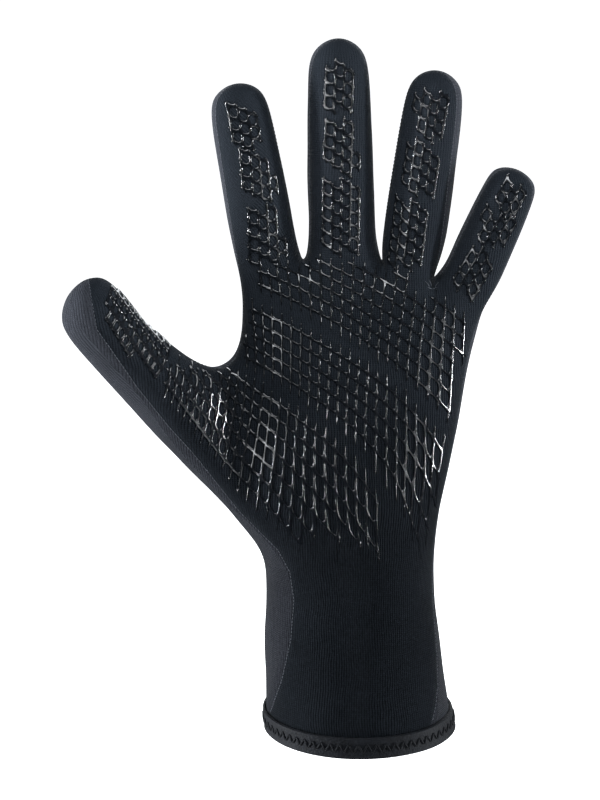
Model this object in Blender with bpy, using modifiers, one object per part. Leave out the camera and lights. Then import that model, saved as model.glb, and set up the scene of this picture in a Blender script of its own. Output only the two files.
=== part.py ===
"""A left-hand neoprene diving glove, full as on a hand.

The palm side faces -Y, the fingers point up, and the origin is the centre of the cuff's opening.
One smooth form of the whole glove comes from a coarse cage of rings. The palm panel and the back
panel are the two halves of its wall, parted along the seam. The hem folds round the cuff's edge,
and the grip prints are thin raised pads on the palm panel.
"""

import math
from collections import namedtuple

import bmesh
import bpy
from mathutils import Vector

# Driving sizes, in metres
WALL = 0.003  # neoprene with a fabric face on each side
SEAM_GAP = 0.0004  # between the two panels
FIT_GAP = 0.0003  # between pieces that lie on each other

CUFF_LENGTH = 0.088  # hem edge to wrist crease
CUFF_WIDTH = 0.076
CUFF_DEPTH = 0.065
PALM_LENGTH = 0.110  # wrist crease to the webs
PALM_WIDTH = 0.094
PALM_DEPTH = 0.042

# Each finger's length from its root to its tip, its width and its depth
INDEX_LENGTH = 0.0790
INDEX_WIDTH = 0.0254
INDEX_DEPTH = 0.0232
MIDDLE_LENGTH = 0.0942
MIDDLE_WIDTH = 0.0262
MIDDLE_DEPTH = 0.0240
RING_LENGTH = 0.0855
RING_WIDTH = 0.0250
RING_DEPTH = 0.0230
LITTLE_LENGTH = 0.0545
LITTLE_WIDTH = 0.0226
LITTLE_DEPTH = 0.0210
THUMB_LENGTH = 0.0890
THUMB_WIDTH = 0.0265
THUMB_DEPTH = 0.0255

HEM_HEIGHT = 0.0078
HEM_THICKNESS = 0.0011
PRINT_THICKNESS = 0.0006

# One row for each ring of the cuff and the palm, from the hem upwards. up is the share of the
# cuff's or the palm's length. left and right are shares of its width, front and back of its depth,
# all measured from the glove's axis. swell is how much deeper the front is towards the thumb.
# seam_left and seam_right are how far round to the front the seam lies, in degrees from the side.
# square is the power of the superellipse, and lean is how far the thumb's side drops, as a share
# of the length.
Row = namedtuple("Row", "up left right front back swell seam_left seam_right square lean")
CUFF_ROWS = (
    Row(0.000, 0.494, 0.515, 0.500, 0.500, 0.00, 2, 36, 2.0, 0.00),
    Row(0.110, 0.512, 0.496, 0.490, 0.490, 0.00, 8, 32, 2.0, 0.00),
    Row(0.340, 0.524, 0.460, 0.430, 0.430, 0.00, 34, 22, 2.0, 0.00),
    Row(0.620, 0.500, 0.410, 0.385, 0.385, 0.00, 50, 17, 2.1, 0.00),
    Row(0.850, 0.490, 0.400, 0.380, 0.360, 0.00, 46, 17, 2.2, 0.02),
)
PALM_ROWS = (
    Row(0.060, 0.475, 0.342, 0.640, 0.530, 0.10, 38, 17, 2.3, 0.08),
    Row(0.200, 0.610, 0.375, 0.640, 0.480, 0.20, 30, 17, 2.4, 0.09),
    Row(0.400, 0.600, 0.420, 0.560, 0.440, 0.30, 16, 17, 2.5, 0.03),
    Row(0.625, 0.518, 0.455, 0.480, 0.450, 0.12, 6, 18, 2.5, 0.00),
    Row(0.790, 0.492, 0.500, 0.450, 0.440, 0.00, 12, 20, 2.5, 0.00),
)
THUMB_ROWS = (1, 2, 3)  # rows of the palm that hold the lower, middle and upper edge of the thumb's root
WEB_ROW = Row(0.930, 0.515, 0.555, 0.400, 0.400, 0.00, 26, 26, 2.6, 0.00)

# Where each web and each outer corner of the finger row lies: across is the share of the finger
# row's width from the thumb's side, down is the share of the palm's length below the web row.
Web = namedtuple("Web", "across down rise")
WEBS = (
    Web(0.000, 0.000, 0.00),
    Web(0.262, 0.000, 0.07),
    Web(0.572, 0.000, 0.065),
    Web(0.750, 0.050, 0.050),
    Web(1.000, 0.055, 0.00),
)

FINGER_EDGE = 0.075  # from the row's ends to the outer fingers' corners, as a share of its width

# The fingers. shift moves a finger's axis off the middle of its root, as a share of its width. splay
# leans it towards the little finger's side, curl towards the palm, and roll turns its palm side
# towards the little finger, in degrees. seam_left and seam_right are how far round to the front the
# seam lies on each side.
Finger = namedtuple("Finger", "name length width depth shift splay curl roll seam_left seam_right")
INDEX = Finger("index", INDEX_LENGTH, INDEX_WIDTH, INDEX_DEPTH, -0.05, -9.8, 4.0, 12.0, 26, 20)
MIDDLE = Finger("middle", MIDDLE_LENGTH, MIDDLE_WIDTH, MIDDLE_DEPTH, -0.02, -1.6, 4.0, 0.0, 26, 22)
RING = Finger("ring", RING_LENGTH, RING_WIDTH, RING_DEPTH, 0.01, 6.9, 4.0, -12.0, 18, 34)
LITTLE = Finger("little", LITTLE_LENGTH, LITTLE_WIDTH, LITTLE_DEPTH, 0.08, 21.8, 5.0, -4.0, 26, 30)
FINGERS = (INDEX, MIDDLE, RING, LITTLE)
THUMB = Finger("thumb", THUMB_LENGTH, THUMB_WIDTH, THUMB_DEPTH, -0.03, -43.0, 10.0, 45.0, 30, 16)

# Rings along a finger: along is the share of its length, wide and deep are shares of its width
# and depth, turn is the share of its roll, and side is how far the ring stands off the axis, as a
# share of the width.
Ring = namedtuple("Ring", "along wide deep turn side")
FINGER_RINGS = (
    Ring(0.13, 1.00, 1.00, 0.3, 0.00),
    Ring(0.34, 1.02, 1.00, 0.8, 0.00),
    Ring(0.60, 0.97, 0.95, 1.0, 0.00),
    Ring(0.82, 0.93, 0.88, 1.0, 0.00),
    Ring(0.95, 0.80, 0.74, 1.0, 0.00),
)
THUMB_RINGS = (
    Ring(0.26, 1.32, 1.30, 0.5, -0.14),
    Ring(0.44, 1.10, 1.12, 0.9, -0.17),
    Ring(0.63, 0.98, 0.98, 1.0, -0.17),
    Ring(0.82, 1.06, 0.98, 1.0, -0.09),
    Ring(0.95, 0.95, 0.84, 1.0, -0.04),
)
TIP_RISE = 0.085  # how far the tip's middle vertex stands past the last ring, as a share of length

# The grip prints on the palm, as corners of their outlines seen from the palm's side: across is a
# share of the palm's width from the glove's axis, up a share of its length from the wrist crease.
Corner = namedtuple("Corner", "across up")
PALM_PRINTS = {
    "grip_palm": (
        Corner(-0.440, 0.970),
        Corner(-0.170, 1.000),
        Corner(0.000, 0.990),
        Corner(0.180, 0.940),
        Corner(0.230, 0.880),
        Corner(0.380, 0.830),
        Corner(0.415, 0.790),
        Corner(0.375, 0.500),
        Corner(0.335, 0.250),
        Corner(0.290, 0.080),
        Corner(0.120, 0.050),
        Corner(0.085, 0.200),
        Corner(-0.020, 0.385),
        Corner(-0.180, 0.500),
        Corner(-0.330, 0.585),
        Corner(-0.465, 0.660),
        Corner(-0.445, 0.840),
        Corner(-0.290, 0.805),
        Corner(-0.130, 0.740),
        Corner(0.020, 0.660),
        Corner(0.185, 0.550),
        Corner(0.150, 0.630),
        Corner(0.000, 0.725),
        Corner(-0.165, 0.806),
        Corner(-0.330, 0.880),
        Corner(-0.445, 0.940),
    ),
    "grip_heel": (
        Corner(-0.530, 0.600),
        Corner(-0.445, 0.588),
        Corner(-0.300, 0.520),
        Corner(-0.145, 0.425),
        Corner(-0.070, 0.365),
        Corner(0.015, 0.280),
        Corner(0.060, 0.200),
        Corner(0.085, 0.050),
        Corner(-0.320, 0.070),
        Corner(-0.410, 0.205),
        Corner(-0.535, 0.300),
    ),
}

# The other corners of the heel's print, which lie on the thumb: shares of the thumb's length from
# the middle of its root.
HEEL_ON_THUMB = (
    Corner(-0.1519, 0.0834),
    Corner(-0.2945, 0.2935),
    Corner(-0.2417, 0.3429),
    Corner(-0.0833, 0.2811),
)

# The grip pads of a finger: start and end are shares of its length, turn is how far round from its
# palm side the pad's middle lies, in degrees, and half is its half width as a share of the finger's.
Pad = namedtuple("Pad", "finger name start end turn half")
FINGER_PADS = (
    Pad(INDEX, "base", 0.120, 0.400, -5, 0.27),
    Pad(INDEX, "middle", 0.440, 0.670, 2, 0.27),
    Pad(INDEX, "tip", 0.700, 0.900, 0, 0.26),
    Pad(MIDDLE, "base", 0.140, 0.420, -3, 0.27),
    Pad(MIDDLE, "middle", 0.470, 0.680, 0, 0.26),
    Pad(MIDDLE, "tip", 0.720, 0.910, 4, 0.25),
    Pad(RING, "base", 0.120, 0.400, -8, 0.27),
    Pad(RING, "middle", 0.440, 0.670, -1, 0.27),
    Pad(RING, "tip", 0.710, 0.910, 3, 0.25),
    Pad(LITTLE, "base", 0.060, 0.400, -6, 0.29),
    Pad(LITTLE, "middle", 0.450, 0.680, 0, 0.28),
    Pad(LITTLE, "tip", 0.720, 0.900, 4, 0.24),
    Pad(THUMB, "tip", 0.490, 0.900, 0, 0.36),
)
PAD_CORNER = 0.30  # how much a pad's corners are cut, as a share of its half width

FRONT_STEPS = 10  # columns of a palm ring between the seams, on each side
FINGER_STEPS = 4
PALM, BACK = 0, 1  # material slots of the form, one for each panel


def clear_scene():
    for thing in list(bpy.data.objects):
        bpy.data.objects.remove(thing)


def ring_angles(seam_left, seam_right, steps):
    """A ring's angles in degrees: the left seam, the front, the right seam, then the back."""
    left, right = 180 - seam_left, seam_right
    front = [left + (right - left) * i / steps for i in range(steps)]
    back = [right - (right + 360 - left) * i / steps for i in range(steps)]
    return front + back


def hoop_scales(angles):
    """How far out each cage vertex stands, so that the subdivided ring has its true size."""
    scales = []
    for i, angle in enumerate(angles):
        before = math.radians(angle - angles[i - 1])
        after = math.radians(angles[(i + 1) % len(angles)] - angle)
        scales.append(6 / (4 + math.cos(before) + math.cos(after)))
    return scales


def power(value, exponent):
    return math.copysign(abs(value) ** exponent, value)


def row_ring(row, width, depth, base, length, angles=None):
    """The points of one ring of the cuff or the palm."""
    angles = angles or ring_angles(row.seam_left, row.seam_right, FRONT_STEPS)
    points = []
    for angle, scale in zip(angles, hoop_scales(angles)):
        across = power(math.cos(math.radians(angle)), 2 / row.square)
        forward = power(math.sin(math.radians(angle)), 2 / row.square)
        x = across * (row.right if across > 0 else row.left) * width
        y = -forward * (row.front if forward > 0 else row.back) * depth
        if forward > 0 and across < 0:
            y *= 1 - row.swell * across
        z = base + (row.up + row.lean * min(across, 0)) * length
        points.append(Vector((x * scale, y * scale, z)))
    return points


def web_angles():
    """The angles of the finger row, so that its columns meet the webs and the fingers' middles."""
    shares = []
    for first, second in zip(WEBS, WEBS[1:]):
        shares += [first.across, (first.across + second.across) / 2]
    shares = [FINGER_EDGE] + shares[1:] + [1 - FINGER_EDGE]
    front = []
    for share in shares:
        x = share * (WEB_ROW.left + WEB_ROW.right) - WEB_ROW.left
        across = x / (WEB_ROW.right if x > 0 else WEB_ROW.left)
        front.append(math.degrees(math.acos(power(across, WEB_ROW.square / 2))))
    left, right = 180 - WEB_ROW.seam_left, WEB_ROW.seam_right
    return [left] + front + [right] + [-angle for angle in reversed(front)]


def web_row(base):
    """The ring at the fingers' roots, lowered towards the little finger."""
    ring = row_ring(WEB_ROW, PALM_WIDTH, PALM_DEPTH, base, PALM_LENGTH, web_angles())
    downs = [WEBS[0].down]
    for first, second in zip(WEBS, WEBS[1:]):
        downs += [first.down, (first.down + second.down) / 2]
    downs += [WEBS[-1].down, WEBS[-1].down]
    downs += list(reversed(downs[1:-1]))
    for point, down in zip(ring, downs):
        point.z -= down * PALM_LENGTH
    return ring


def finger_axes(finger, turn, extra=0):
    """The directions along a finger, across it and out of its palm side, at a share of its roll."""
    splay, curl = math.radians(finger.splay), math.radians(finger.curl)
    along = Vector((math.sin(splay), -math.tan(curl), math.cos(splay))).normalized()
    across = Vector((math.cos(splay), 0, -math.sin(splay)))
    front = across.cross(along)
    roll = math.radians(finger.roll * turn + extra)
    return (
        along,
        across * math.cos(roll) - front * math.sin(roll),
        front * math.cos(roll) + across * math.sin(roll),
    )


def finger_ring(finger, root, ring):
    """The eight points of one ring of a finger."""
    along, across, front = finger_axes(finger, ring.turn)
    sideways = finger_axes(finger, 0)[1] * (finger.shift + ring.side) * finger.width
    centre = root + along * ring.along * finger.length + sideways
    angles = ring_angles(finger.seam_left, finger.seam_right, FINGER_STEPS)
    points = []
    for angle, scale in zip(angles, hoop_scales(angles)):
        turn = math.radians(angle)
        wide = math.cos(turn) * ring.wide * finger.width / 2
        deep = math.sin(turn) * ring.deep * finger.depth / 2
        points.append(centre + (across * wide + front * deep) * scale)
    return points


class Cage:
    """The coarse cage of the glove's outer face, built ring by ring."""

    def __init__(self):
        self.mesh = bmesh.new()
        self.roots = {}

    def add_ring(self, points):
        return [self.mesh.verts.new(point) for point in points]

    def add_face(self, corners, panel):
        face = self.mesh.faces.new(corners)
        face.material_index = panel
        face.smooth = True

    def join(self, lower, upper, columns=None):
        """Faces between two rings. The first half of the columns is the palm panel's."""
        count = len(lower)
        for i in columns if columns is not None else range(count):
            j = (i + 1) % count
            panel = PALM if i < count / 2 else BACK
            self.add_face((lower[i], lower[j], upper[j], upper[i]), panel)

    def add_finger(self, finger, base, rings):
        """A finger on the eight vertices of its root."""
        root = sum((v.co for v in base), Vector()) / len(base)
        self.roots[finger.name] = root
        last = base
        for ring in rings:
            points = self.add_ring(finger_ring(finger, root, ring))
            self.join(last, points)
            last = points
        along, sideways, front = finger_axes(finger, 0)
        tip = root + along * (rings[-1].along + TIP_RISE) * finger.length
        self.close_tip(last, tip + sideways * (finger.shift + rings[-1].side) * finger.width)

    def close_tip(self, ring, middle):
        """Closes a fingertip with two faces on the palm side and two on the back."""
        tip = self.mesh.verts.new(middle)
        self.add_face((ring[0], ring[1], ring[2], tip), PALM)
        self.add_face((tip, ring[2], ring[3], ring[4]), PALM)
        self.add_face((ring[4], ring[5], ring[6], tip), BACK)
        self.add_face((tip, ring[6], ring[7], ring[0]), BACK)


def hem_seat():
    """Height of the panels' lower edge, which the folded hem covers."""
    return HEM_THICKNESS + FIT_GAP


def glove_cage():
    """The whole cage, from the cuff's edge to the fingertips."""
    cage = Cage()
    seat = hem_seat()
    rings = [
        cage.add_ring(row_ring(row, CUFF_WIDTH, CUFF_DEPTH, seat, CUFF_LENGTH - seat))
        for row in CUFF_ROWS
    ]
    palm = [
        cage.add_ring(row_ring(row, PALM_WIDTH, PALM_DEPTH, CUFF_LENGTH, PALM_LENGTH))
        for row in PALM_ROWS
    ]
    rings += palm
    rings.append(cage.add_ring(web_row(CUFF_LENGTH)))
    low, middle, high = (palm[i] for i in THUMB_ROWS)
    for lower, upper in zip(rings, rings[1:]):
        thumb_side = (lower is low) or (lower is middle)
        cage.join(lower, upper, range(1, 2 * FRONT_STEPS - 1) if thumb_side else None)
    add_fingers(cage, rings[-1])
    thumb_base = [low[0], low[1], middle[1], high[1], high[0], high[-1], middle[-1], low[-1]]
    cage.mesh.verts.remove(middle[0])
    cage.add_finger(THUMB, thumb_base, THUMB_RINGS)
    return cage.mesh, cage.roots


def add_fingers(cage, row):
    """Four fingers on the finger row, with a vertex in the middle of each web."""
    count = len(row)
    webs = [row[0]]
    for i in range(1, len(FINGERS)):
        front, back = row[2 * i + 1], row[count - 2 * i - 1]
        middle = (front.co + back.co) / 2
        middle.z += WEBS[i].rise * PALM_LENGTH
        webs.append(cage.mesh.verts.new(middle))
    webs.append(row[FRONT_STEPS])
    for i, finger in enumerate(FINGERS):
        front = [row[2 * i + 1], row[2 * i + 2], row[2 * i + 3]]
        back = [row[count - 2 * i - 3], row[count - 2 * i - 2], row[count - 2 * i - 1]]
        base = [webs[i]] + front + [webs[i + 1]] + back
        cage.add_finger(finger, base, FINGER_RINGS)


def glove_form():
    """The subdivided form of the glove's outer face, as a mesh, and the fingers' roots."""
    mesh = bpy.data.meshes.new("glove_form")
    cage, roots = glove_cage()
    bmesh.ops.recalc_face_normals(cage, faces=cage.faces)
    cage.to_mesh(mesh)
    cage.free()
    thing = bpy.data.objects.new("glove_form", mesh)
    bpy.context.scene.collection.objects.link(thing)
    smooth = thing.modifiers.new("Smooth form", "SUBSURF")
    smooth.levels = smooth.render_levels = 1
    bpy.context.view_layer.update()
    graph = bpy.context.evaluated_depsgraph_get()
    form = bpy.data.meshes.new_from_object(thing.evaluated_get(graph))
    bpy.data.objects.remove(thing)
    bm = bmesh.new()
    bm.from_mesh(form)
    bmesh.ops.triangulate(bm, faces=bm.faces, quad_method="SHORT_EDGE")
    bm.to_mesh(form)
    bm.free()
    return form, roots


def material(name, colour, roughness):
    made = bpy.data.materials.new(name)
    made.use_nodes = True
    surface = made.node_tree.nodes["Principled BSDF"]
    surface.inputs["Base Color"].default_value = (*colour, 1)
    surface.inputs["Roughness"].default_value = roughness
    surface.inputs["Metallic"].default_value = 0
    return made


def add_object(name, mesh, finish, collection):
    mesh.materials.clear()
    mesh.materials.append(finish)
    mesh.shade_smooth()
    mesh.set_sharp_from_angle(angle=math.radians(50))
    thing = bpy.data.objects.new(name, mesh)
    collection.objects.link(thing)
    return thing


def panel_faces(form, panel):
    """The form's faces of one panel, with the direction out of the wall kept at each vertex."""
    bm = bmesh.new()
    bm.from_mesh(form)
    bm.normal_update()
    outward = bm.verts.layers.float_vector.new("outward")
    lowest = min(v.co.z for v in bm.verts)
    for v in bm.verts:
        normal = v.normal.copy()
        if v.co.z < lowest + FIT_GAP:
            normal.z = 0
        v[outward] = normal.normalized()
    others = [face for face in bm.faces if face.material_index != panel]
    bmesh.ops.delete(bm, geom=others, context="FACES")
    return bm, outward, lowest


def draw_back(bm, lowest, gap):
    """Moves the seam's edge into the panel, leaving the cuff's edge where it is."""
    moves = {}
    for v in bm.verts:
        seams = [e for e in v.link_edges if e.is_boundary]
        if not any(max(w.co.z for w in e.verts) > lowest + FIT_GAP for e in seams):
            continue
        inner = [e.other_vert(v) for e in v.link_edges if not e.is_boundary]
        if not inner:
            inner = [w for face in v.link_faces for w in face.verts if w is not v]
        way = sum((w.co for w in inner), Vector()) / len(inner) - v.co
        if v.co.z < lowest + FIT_GAP:
            way.z = 0
        moves[v] = way.normalized() * gap
    for v, move in moves.items():
        v.co += move


def thicken(bm, outward, thickness):
    """Makes a closed wall of a surface, grown by a thickness along its kept directions."""
    made = bmesh.ops.extrude_face_region(bm, geom=bm.faces[:], use_keep_orig=True)
    for v in (g for g in made["geom"] if isinstance(g, bmesh.types.BMVert)):
        v.co += v[outward] * thickness
    sides = [face for face in bm.faces if len(face.verts) == 4]
    bmesh.ops.triangulate(bm, faces=sides, quad_method="SHORT_EDGE")
    bmesh.ops.recalc_face_normals(bm, faces=bm.faces)


def panel_mesh(form, panel, name):
    """One panel's wall: its outer face, its inner face and the edge between them."""
    bm, outward, lowest = panel_faces(form, panel)
    draw_back(bm, lowest, SEAM_GAP / 2)
    thicken(bm, outward, -WALL)
    mesh = bpy.data.meshes.new(name)
    bm.to_mesh(mesh)
    bm.free()
    return mesh


def edge_loop(form):
    """The form's open edge in order: each point, the way out of the wall and the way up it."""
    bm = bmesh.new()
    bm.from_mesh(form)
    bm.normal_update()
    edge = [v for v in bm.verts if v.is_boundary]
    edge.sort(key=lambda v: math.atan2(v.co.y, v.co.x))
    loop = []
    for v in edge:
        above = next(e.other_vert(v) for e in v.link_edges if not e.is_boundary)
        out = Vector((v.normal.x, v.normal.y, 0)).normalized()
        rise = (above.co - v.co) / (above.co.z - v.co.z)
        loop.append((v.co.copy(), out, rise))
    bm.free()
    return loop


def hem_mesh(form):
    """A band folded round the panels' lower edge, with a flange inside and outside."""
    outer, inner = FIT_GAP, -WALL - FIT_GAP
    thick, top = HEM_THICKNESS, HEM_HEIGHT
    profile = (
        (outer + 0.6 * thick, 0),
        (outer + thick, 0.4 * thick),
        (outer + thick, top - 0.4 * thick),
        (outer + 0.6 * thick, top),
        (outer, top),
        (outer, thick),
        (inner, thick),
        (inner, top),
        (inner - thick, top),
        (inner - thick, 0),
    )
    bm = bmesh.new()
    rings = []
    for point, out, rise in edge_loop(form):
        ring = [point + out * off + rise * (height - point.z) for off, height in profile]
        rings.append([bm.verts.new(place) for place in ring])
    for i, ring in enumerate(rings):
        after = rings[(i + 1) % len(rings)]
        for j in range(len(profile)):
            k = (j + 1) % len(profile)
            bm.faces.new((ring[j], after[j], after[k], ring[k]))
    bmesh.ops.recalc_face_normals(bm, faces=bm.faces)
    mesh = bpy.data.meshes.new("cuff_hem")
    bm.to_mesh(mesh)
    bm.free()
    return mesh


def print_blank(form, keep, name):
    """A thin plate that follows the palm panel's face wherever keep says so."""
    bm, outward, lowest = panel_faces(form, PALM)
    spare = [face for face in bm.faces if not keep(face.calc_center_median())]
    bmesh.ops.delete(bm, geom=spare, context="FACES")
    for v in bm.verts:
        v.co += v[outward] * FIT_GAP
    thicken(bm, outward, PRINT_THICKNESS)
    mesh = bpy.data.meshes.new(name)
    bm.to_mesh(mesh)
    bm.free()
    return mesh


def prism(outline, across, up, out, name, collection):
    """A cutter: a flat outline drawn out along one direction, in both directions."""
    bm = bmesh.new()
    ends = []
    for side in (-1, 1):
        ends.append([bm.verts.new(across * x + up * z + out * side * PALM_DEPTH * 2) for x, z in outline])
    bm.faces.new(ends[0])
    bm.faces.new(list(reversed(ends[1])))
    for i in range(len(outline)):
        j = (i + 1) % len(outline)
        bm.faces.new((ends[0][j], ends[0][i], ends[1][i], ends[1][j]))
    bmesh.ops.recalc_face_normals(bm, faces=bm.faces)
    mesh = bpy.data.meshes.new(name)
    bm.to_mesh(mesh)
    bm.free()
    cutter = bpy.data.objects.new(name, mesh)
    cutter.hide_render = True
    cutter.display_type = "WIRE"
    collection.objects.link(cutter)
    return cutter


def add_print(name, form, outline, frame, rubber, glove, cutters):
    """One print: the plate cut to its outline, as seen along the frame's out direction."""
    origin, across, up, out = frame
    xs = [x for x, z in outline]
    zs = [z for x, z in outline]
    margin = PALM_WIDTH / 8

    def keep(centre):
        x, z, depth = ((centre - origin).dot(way) for way in (across, up, out))
        wide = min(xs) - margin < x < max(xs) + margin
        tall = min(zs) - margin < z < max(zs) + margin
        return wide and tall and depth > -PALM_DEPTH / 8

    thing = add_object(name, print_blank(form, keep, name), rubber, glove)
    cutter = prism(outline, across, up, out, name + "_outline", cutters)
    cutter.location = origin
    cut = thing.modifiers.new("Outline", "BOOLEAN")
    cut.operation = "INTERSECT"
    cut.solver = "EXACT"
    cut.object = cutter


def add_palm_prints(form, root, rubber, glove, cutters):
    """The two prints of the palm. root is the middle of the thumb's root."""
    frame = (Vector((0, 0, CUFF_LENGTH)), Vector((1, 0, 0)), Vector((0, 0, 1)), Vector((0, -1, 0)))
    for name, corners in PALM_PRINTS.items():
        outline = [(c.across * PALM_WIDTH, c.up * PALM_LENGTH) for c in corners]
        if name == "grip_heel":
            for c in HEEL_ON_THUMB:
                x, z = root.x + c.across * THUMB_LENGTH, root.z + c.up * THUMB_LENGTH
                outline.append((x, z - CUFF_LENGTH))
        add_print(name, form, outline, frame, rubber, glove, cutters)


def pad_outline(pad):
    """A rectangle with its corners cut, across and along the finger."""
    half = pad.half * pad.finger.width
    low, high = pad.start * pad.finger.length, pad.end * pad.finger.length
    cut = PAD_CORNER * half
    return [
        (cut - half, low),
        (half - cut, low),
        (half, low + cut),
        (half, high - cut),
        (half - cut, high),
        (cut - half, high),
        (-half, high - cut),
        (-half, low + cut),
    ]


def add_finger_pads(form, roots, rubber, glove, cutters):
    for pad in FINGER_PADS:
        finger = pad.finger
        along, sideways, front = finger_axes(finger, 0)
        out = finger_axes(finger, 1, pad.turn)[2]
        across = along.cross(out)
        origin = roots[finger.name] + sideways * finger.shift * finger.width
        name = "grip_" + finger.name + "_" + pad.name
        add_print(name, form, pad_outline(pad), (origin, across, along, out), rubber, glove, cutters)


def main():
    clear_scene()
    glove = bpy.data.collections.new("diving_glove")
    cutters = bpy.data.collections.new("cutters")
    for collection in (glove, cutters):
        bpy.context.scene.collection.children.link(collection)
    form, roots = glove_form()
    palm_knit = material("palm_knit", (0.012, 0.013, 0.015), 0.8)
    back_knit = material("back_knit", (0.045, 0.048, 0.055), 0.7)
    binding = material("binding", (0.010, 0.010, 0.012), 0.75)
    add_object("palm_panel", panel_mesh(form, PALM, "palm_panel"), palm_knit, glove)
    add_object("back_panel", panel_mesh(form, BACK, "back_panel"), back_knit, glove)
    add_object("cuff_hem", hem_mesh(form), binding, glove)
    rubber = material("grip_rubber", (0.015, 0.016, 0.018), 0.3)
    add_palm_prints(form, roots["thumb"], rubber, glove, cutters)
    add_finger_pads(form, roots, rubber, glove, cutters)


main()
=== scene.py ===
"""The looks of a left-hand diving glove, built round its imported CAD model.

Finer pieces stand for the CAD's plain panels, hem and grip pads: two knit skins with their linings, a
folded hem with its zigzag stitch, the raised rubber nets of the palm and fingers, and the seams'
thread. Lengths are in metres and the palm side faces -Y.
"""

import math

import bmesh
import bpy
import numpy as np
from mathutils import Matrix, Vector, noise
from mathutils.bvhtree import BVHTree
from mathutils.kdtree import KDTree


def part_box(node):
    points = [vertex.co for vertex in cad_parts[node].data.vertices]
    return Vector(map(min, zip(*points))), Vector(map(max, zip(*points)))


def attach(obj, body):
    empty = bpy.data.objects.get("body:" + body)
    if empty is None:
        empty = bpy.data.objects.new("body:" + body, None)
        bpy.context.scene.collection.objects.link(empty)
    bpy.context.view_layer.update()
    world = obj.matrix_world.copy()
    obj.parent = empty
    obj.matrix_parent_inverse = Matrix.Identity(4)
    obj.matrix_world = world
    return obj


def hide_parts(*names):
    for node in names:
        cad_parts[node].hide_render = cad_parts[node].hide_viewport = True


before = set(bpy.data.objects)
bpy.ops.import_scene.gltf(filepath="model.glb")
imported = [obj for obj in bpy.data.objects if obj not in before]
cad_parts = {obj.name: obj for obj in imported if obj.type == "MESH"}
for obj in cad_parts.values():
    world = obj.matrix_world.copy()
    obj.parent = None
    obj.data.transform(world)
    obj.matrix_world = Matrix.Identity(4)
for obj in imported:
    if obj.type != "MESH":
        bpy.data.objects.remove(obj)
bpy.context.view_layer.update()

FINE = 3  # subdivisions of the skins
LINING_FINE = 1
HEM_FINE = 2
SETTLING = 3  # rounds in which a subdivided mesh is brought back to its own vertices
CAD_MERGE = 0.00001  # CAD vertices nearer than this are one vertex
QUAD_BEND, QUAD_SKEW = math.radians(40), math.radians(60)  # what two triangles of a quad may differ by
SHARP = math.radians(50)  # a sharper edge than this parts a panel's outer face from its sides
SEAM_REACH = 0.0015  # rims nearer than this to the other panel's are sewn to it
SEAM_LEFT = 0.00002  # what is left of the CAD's gap at the seam, on each side
GROOVE_DEPTH = 0.00028
GROOVE_WIDTH = 0.0011
FOLD_HEIGHT = 0.00022  # the soft unevenness of the stretched neoprene
FOLD_SIZE = 0.016
FOLD_FREE = 0.004  # the unevenness dies away within this distance of a seam


def new_object(name, data):
    """An object that holds a mesh, a light or a camera, in the scene."""
    thing = bpy.data.objects.new(name, data)
    bpy.context.scene.collection.objects.link(thing)
    return thing


def bm_of(mesh):
    """A mesh as a bmesh, which can be edited."""
    bm = bmesh.new()
    bm.from_mesh(mesh)
    return bm


def mesh_of(bm, name):
    """A finished bmesh as a mesh."""
    mesh = bpy.data.meshes.new(name)
    bm.to_mesh(mesh)
    bm.free()
    return mesh


def link(name, mesh, finish):
    """Adds a piece of the glove that rides on the CAD's body."""
    mesh.materials.clear()
    mesh.materials.append(finish)
    mesh.shade_smooth()
    thing = new_object(name, mesh)
    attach(thing, "root")
    return thing


def places(mesh):
    """A mesh's vertices as an array of points."""
    flat = np.empty(len(mesh.vertices) * 3, np.float32)
    mesh.vertices.foreach_get("co", flat)
    return flat.reshape(-1, 3).astype(float)


def set_places(mesh, points):
    mesh.vertices.foreach_set("co", points.astype(np.float32).ravel())
    mesh.update()


def cad_mesh(node):
    """A CAD node's mesh with its split vertices joined and its triangles paired into quads."""
    bm = bm_of(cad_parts[node].data)
    bmesh.ops.remove_doubles(bm, verts=bm.verts, dist=CAD_MERGE)
    bmesh.ops.join_triangles(
        bm,
        faces=bm.faces,
        angle_face_threshold=QUAD_BEND,
        angle_shape_threshold=QUAD_SKEW,
    )
    return bm


def regions(bm):
    """The faces of each smooth region, the largest first. A sharp edge parts two regions."""
    found, left = [], set(bm.faces)
    while left:
        region = {left.pop()}
        front = list(region)
        while front:
            face = front.pop()
            for edge in face.edges:
                if edge.calc_face_angle(math.pi) < SHARP:
                    for other in edge.link_faces:
                        if other in left:
                            left.remove(other)
                            region.add(other)
                            front.append(other)
        found.append(region)
    found.sort(key=lambda faces: -sum(f.calc_area() for f in faces))
    return found


def face_of(node, rank):
    """A CAD panel's outer face, rank 0, or its inner face, rank 1, as a mesh of its own."""
    bm = cad_mesh(node)
    keep = regions(bm)[rank]
    bmesh.ops.delete(bm, geom=[f for f in bm.faces if f not in keep], context="FACES")
    return bm


def point_tree(points):
    """Points as something that finds the nearest of them."""
    tree = KDTree(len(points))
    for i, point in enumerate(points):
        tree.insert(point, i)
    tree.balance()
    return tree


def close_seam(first, second):
    """Draws the rims of the two panels' faces together along the seam."""
    rims = [[v for v in bm.verts if v.is_boundary] for bm in (first, second)]
    points = [[v.co.copy() for v in rim] for rim in rims]
    for rim, here, there in zip(rims, points, reversed(points)):
        tree = point_tree(there)
        for v, point in zip(rim, here):
            near, _, gap = tree.find(point)
            if gap < SEAM_REACH:
                middle = (point + near) / 2
                v.co = middle + (point - middle).normalized() * SEAM_LEFT


KNIT_TURN = math.radians(42)  # how far the knit slants on the index finger's outer side
TURN_FOOT, TURN_RISE = 0.185, 0.02  # the height where the slant starts, and in which it grows to its full
TURN_EDGE, TURN_SIDE = -0.022, 0.014  # the same sideways, from this X towards the left


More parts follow.
